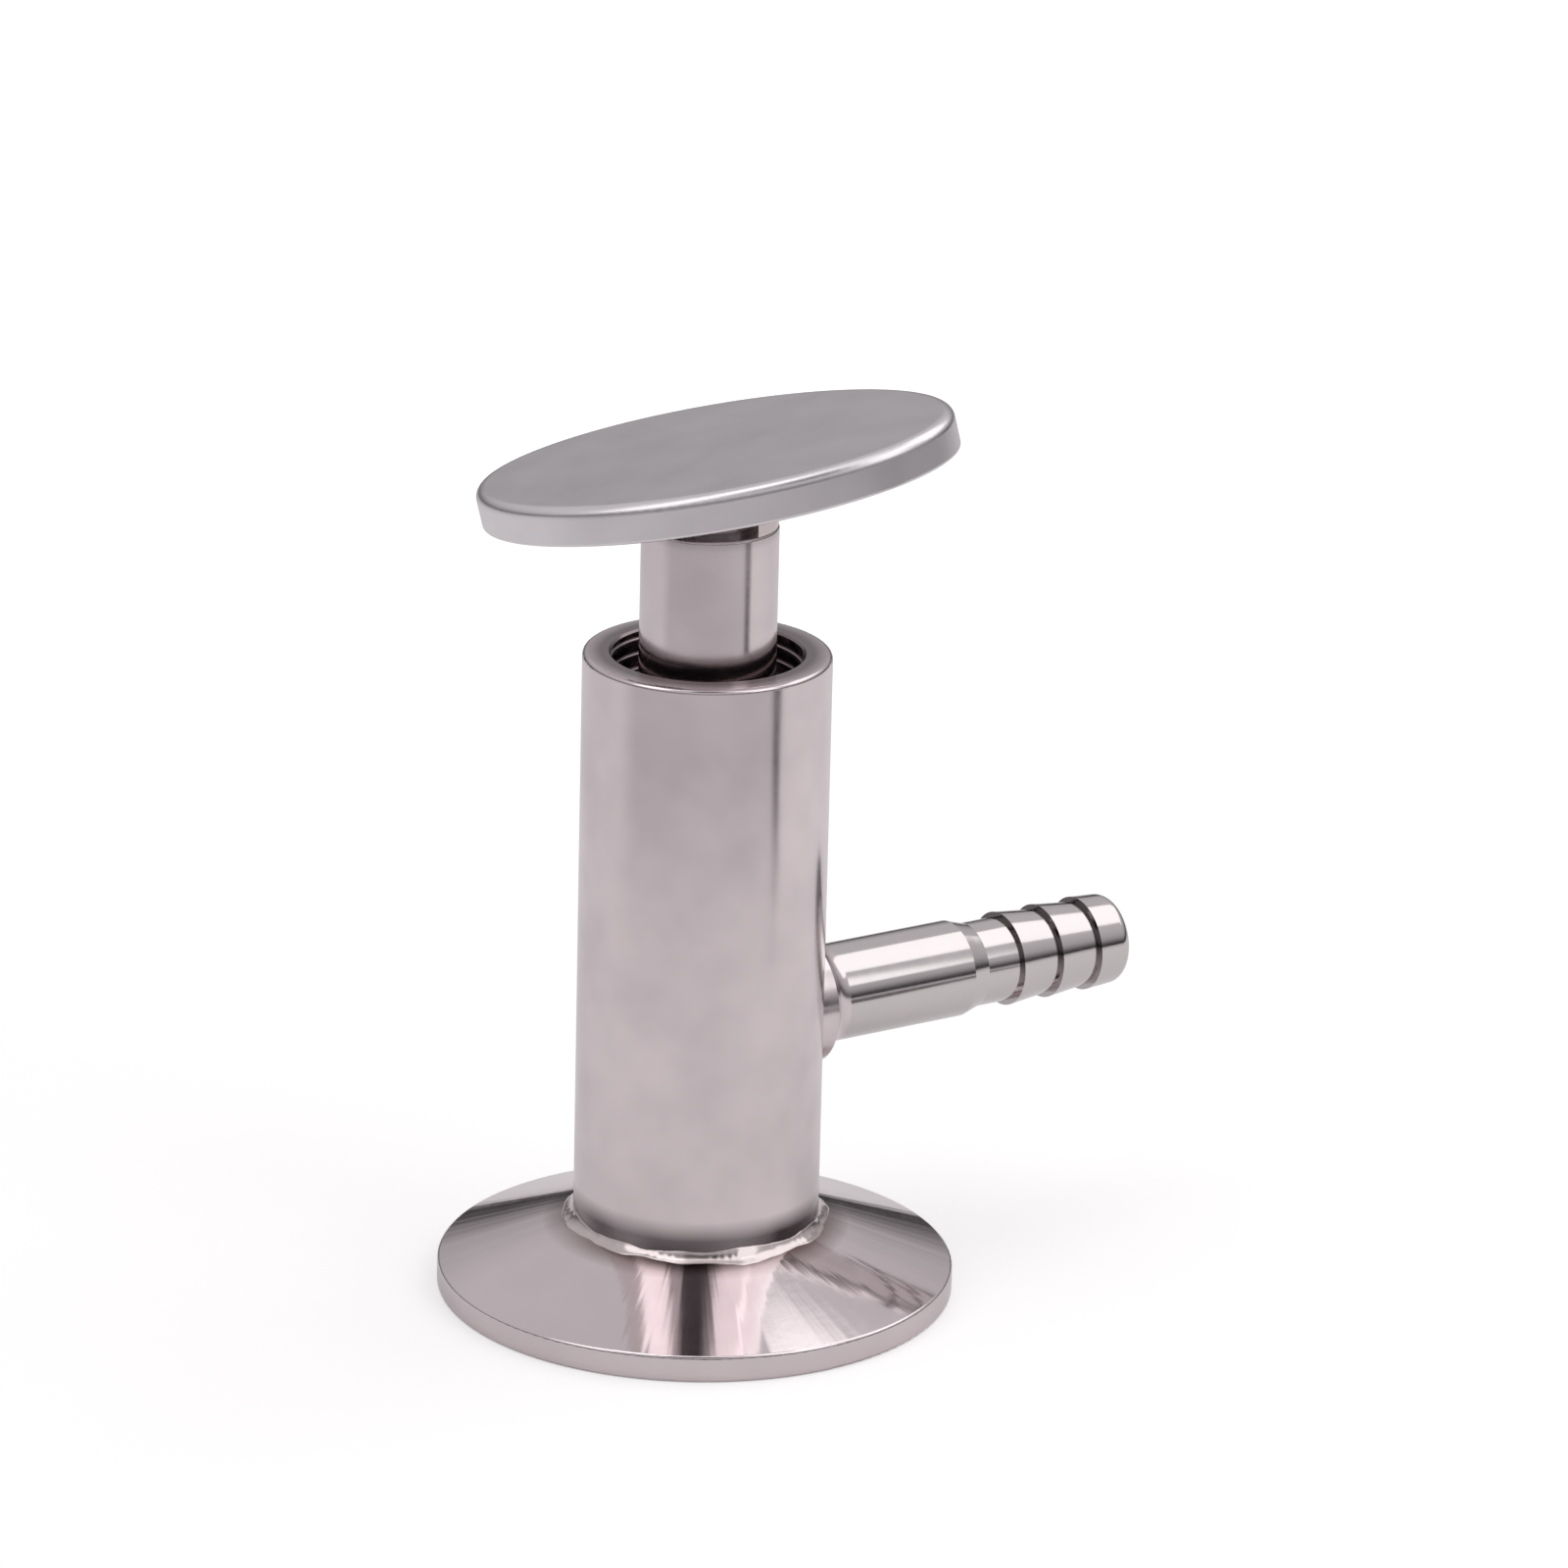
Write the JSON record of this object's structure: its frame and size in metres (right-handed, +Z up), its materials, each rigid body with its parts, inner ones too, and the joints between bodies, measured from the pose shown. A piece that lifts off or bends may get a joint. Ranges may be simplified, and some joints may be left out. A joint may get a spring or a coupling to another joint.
{
  "type": "sanitary sampling valve",
  "caption": "Stainless sampling valve: clamp ferrule base, upright body tube, barbed side spout and a screw stem with a slanted oval handle that lifts a seat seal.",
  "frame": {"origin": "centre of the ferrule's gasket face, on the stem's axis", "axes": "+Z up the stem, away from the ferrule's face; +X out along the barbed spout"},
  "size_m": [0.0733, 0.0506, 0.0906],
  "materials": {
    "satin_steel": "satin, mechanically polished 304 stainless",
    "polished_steel": "bright polished 304 stainless",
    "weld_steel": "cleaned weld bead",
    "epdm_rubber": "moulded EPDM",
    "ptfe": "turned PTFE"
  },
  "bodies": {
    "valve_body": {"ferrule": "polished_steel", "ferrule_weld_bead": "weld_steel", "body_tube": "satin_steel", "hose_spout": "polished_steel", "spout_weld_bead": "weld_steel"},
    "seal_carrier": {"seal_holder": "satin_steel", "seat_seal": "epdm_rubber", "seal_washer": "satin_steel", "seal_screw": "satin_steel"},
    "stem_and_handle": {"stem": "satin_steel", "handle_plate": "satin_steel", "handle_weld": "weld_steel", "stem_o_ring_lower": "epdm_rubber", "stem_o_ring_upper": "epdm_rubber", "stem_guide_ring": "ptfe", "swivel_pins": "satin_steel"}
  },
  "joints": [
    {"name": "seal_lift", "type": "slide", "parent": "valve_body", "child": "seal_carrier", "axis": [0, 0, 1], "range_m": [0, 0.0045]},
    {"name": "stem_turn", "type": "hinge", "parent": "seal_carrier", "child": "stem_and_handle", "pos_m": [0, 0, 0.04], "axis": [0, 0, 1], "range_deg": [0, 1080]}
  ],
  "couplings": [
    {"joint": "stem_turn", "follows": "seal_lift", "rad_per_m": 4188.8}
  ]
}
